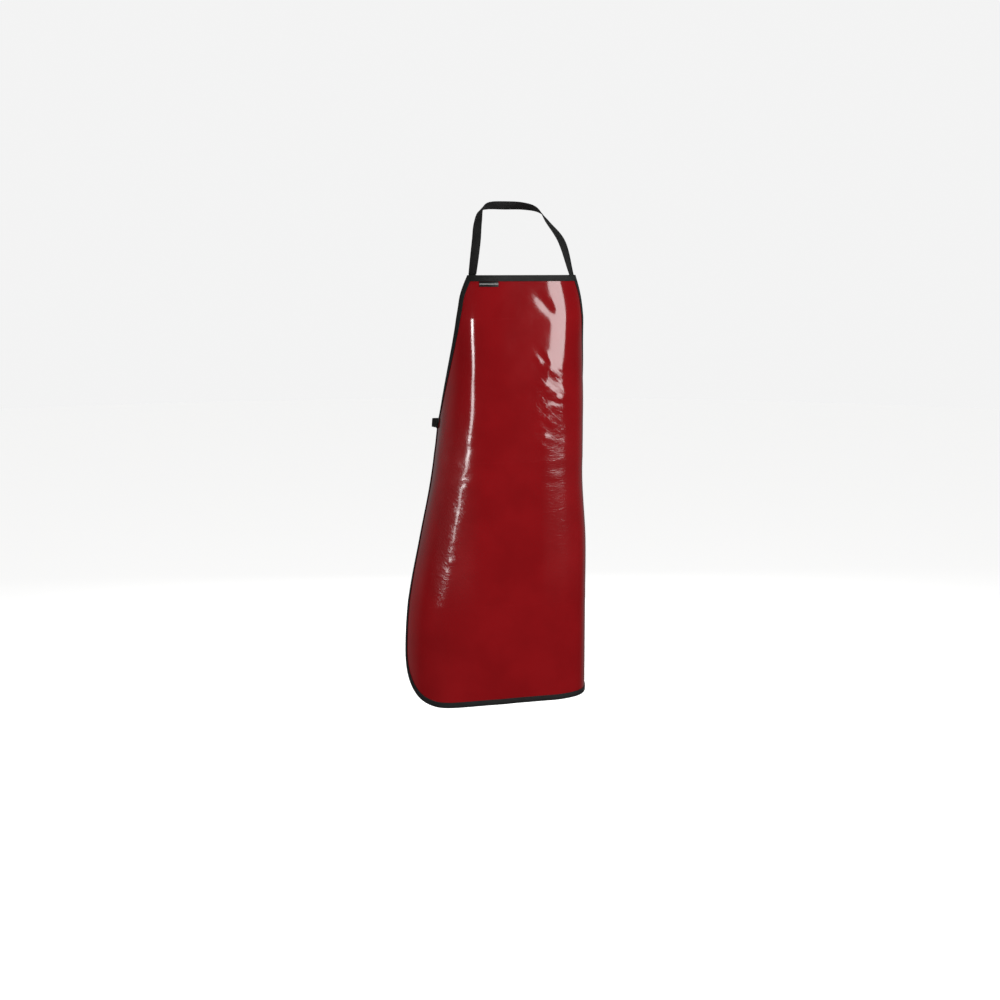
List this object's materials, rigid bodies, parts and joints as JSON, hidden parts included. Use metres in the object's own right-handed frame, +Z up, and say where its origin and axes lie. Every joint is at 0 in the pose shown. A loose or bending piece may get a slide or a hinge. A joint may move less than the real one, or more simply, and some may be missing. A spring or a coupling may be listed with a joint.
{
  "type": "dishwashing apron",
  "caption": "Knee-length bib apron of glossy coated vinyl with bound edges, a woven neck strap and waist ties, in its worn shape.",
  "frame": {"origin": "middle of the neck strap's inner face at the nape, where the apron hangs", "axes": "+Z up, -Y the way the apron's front faces, +X towards the wearer's left"},
  "size_m": [0.416, 0.2395, 1.1044],
  "materials": {
    "coated_vinyl": "glossy",
    "binding_tape": "matte",
    "woven_strap": "matte",
    "label": "satin"
  },
  "bodies": {
    "root": {"apron_panel": "coated_vinyl", "top_binding": "binding_tape", "armhole_binding_right": "binding_tape", "armhole_binding_left": "binding_tape", "side_and_hem_binding": "binding_tape", "neck_strap": "woven_strap", "waist_tie_right": "woven_strap", "waist_tie_left": "woven_strap", "tie_knot": "woven_strap", "tie_end_right": "woven_strap", "tie_end_left": "woven_strap", "label_tab": "label"}
  },
  "joints": []
}
